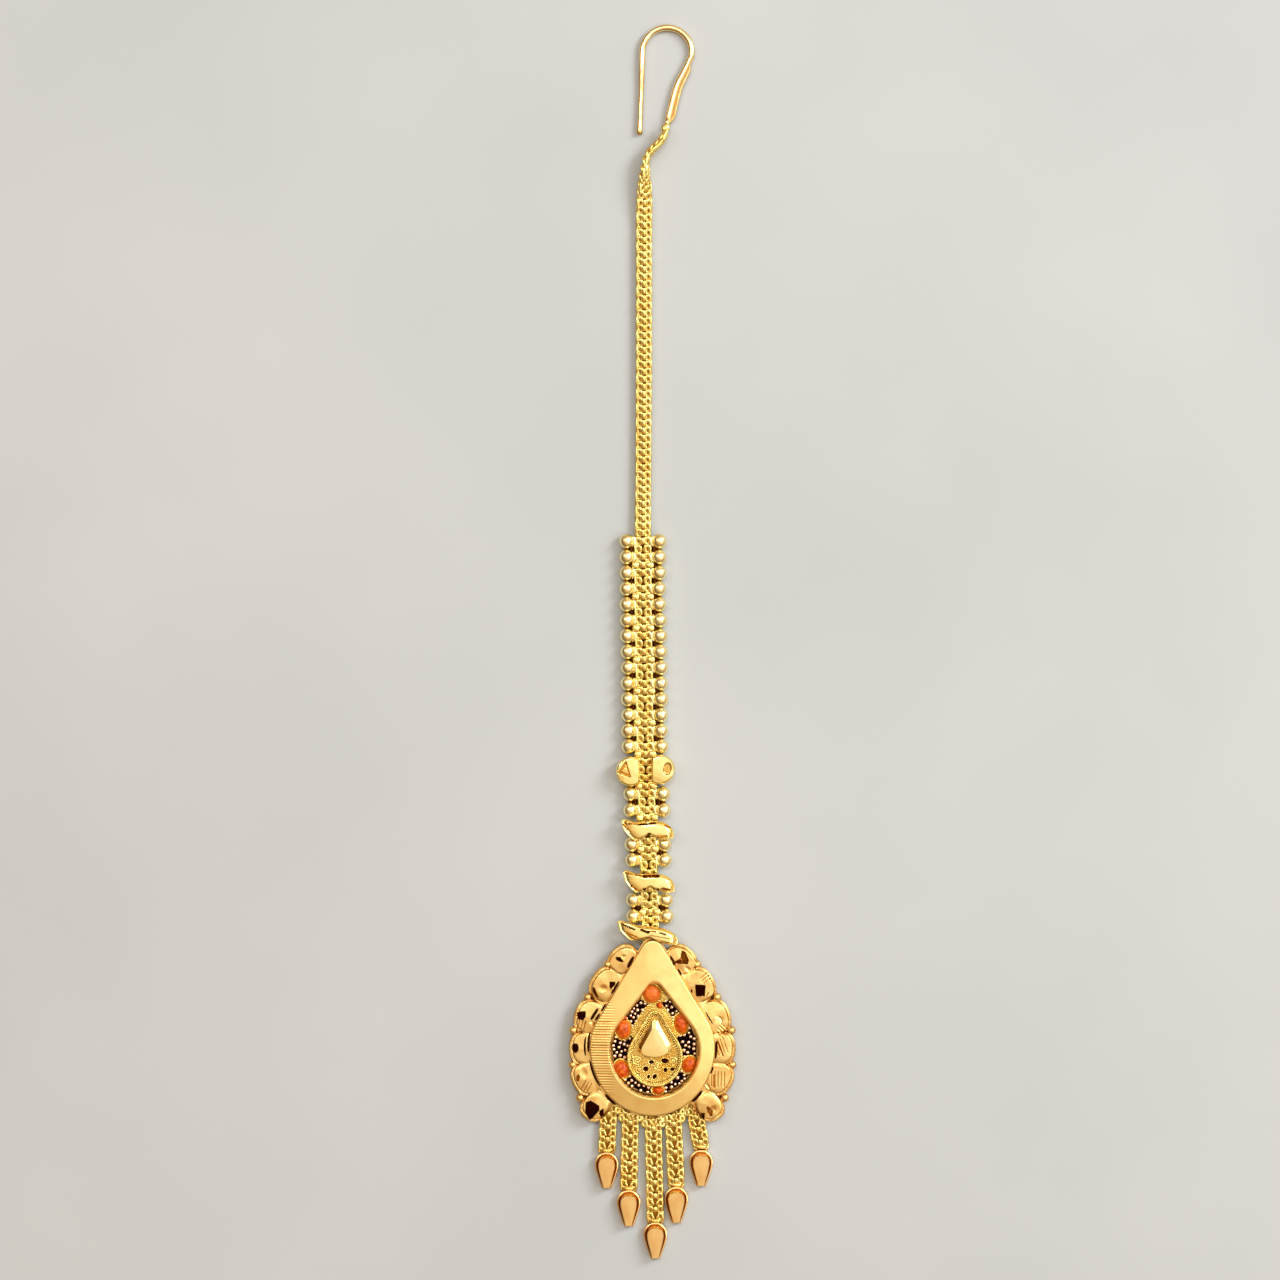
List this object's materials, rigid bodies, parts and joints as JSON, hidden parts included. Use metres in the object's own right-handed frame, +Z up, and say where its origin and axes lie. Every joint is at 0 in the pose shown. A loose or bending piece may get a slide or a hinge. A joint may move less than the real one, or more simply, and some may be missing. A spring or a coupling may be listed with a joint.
{
  "type": "gold hair chain",
  "caption": "Gold forehead hair chain: wire hook, flat double chain with side beads and cross bars, and a pear-shaped enamelled pendant with a fringe of chains and drops.",
  "frame": {"origin": "centre of the footprint, on the surface that the hair chain lies on", "axes": "+Z up from the surface, out of the pendant's face; +Y along the chain from the pendant to the hook; +X to the right as the face is seen from above"},
  "size_m": [0.0218, 0.1606, 0.0031],
  "materials": {
    "hook_wire": "22-carat gold wire, polished",
    "chain_gold": "22-carat gold, machine-made double chain, bright",
    "bead_gold": "22-carat gold, hollow round beads, polished",
    "faceted_gold": "22-carat gold, bright-cut facets",
    "bar_gold": "22-carat gold, die-struck and polished",
    "border_gold": "22-carat gold, domed petals with bright-cut hollows",
    "satin_gold": "22-carat gold, finely grooved satin",
    "darkened_well": "darkened gold with fine granules",
    "rim_gold": "22-carat gold, twisted wire and scrollwork",
    "mirror_gold": "22-carat gold, flat polished",
    "orange_enamel": "orange glass enamel, glossy",
    "fringe_gold": "22-carat gold, machine-made double chain, bright",
    "drop_gold": "22-carat gold, faceted and polished"
  },
  "bodies": {
    "root": {"beads_lower_left": "bead_gold", "beads_lower_right": "bead_gold", "beads_second_left": "bead_gold", "beads_second_right": "bead_gold", "beads_third_left": "bead_gold", "beads_third_right": "bead_gold", "beads_upper_left": "bead_gold", "beads_upper_right": "bead_gold", "centre_plate": "mirror_gold", "centre_rim": "rim_gold", "chain": "chain_gold", "cross_bar_lower": "bar_gold", "cross_bar_middle": "bar_gold", "cross_bar_upper": "bar_gold", "drop_1": "drop_gold", "drop_2": "drop_gold", "drop_3": "drop_gold", "drop_4": "drop_gold", "drop_5": "drop_gold", "enamel_dot_bottom": "orange_enamel", "enamel_dot_lower_left": "orange_enamel", "enamel_dot_lower_right": "orange_enamel", "enamel_dot_top": "orange_enamel", "enamel_dot_upper_left": "orange_enamel", "enamel_dot_upper_right": "orange_enamel", "faceted_bead_left": "faceted_gold", "faceted_bead_right": "faceted_gold", "fringe_chain_1": "fringe_gold", "fringe_chain_2": "fringe_gold", "fringe_chain_3": "fringe_gold", "fringe_chain_4": "fringe_gold", "fringe_chain_5": "fringe_gold", "hook": "hook_wire", "pendant_border": "border_gold", "pendant_frame": "satin_gold", "pendant_well": "darkened_well"}
  },
  "joints": []
}
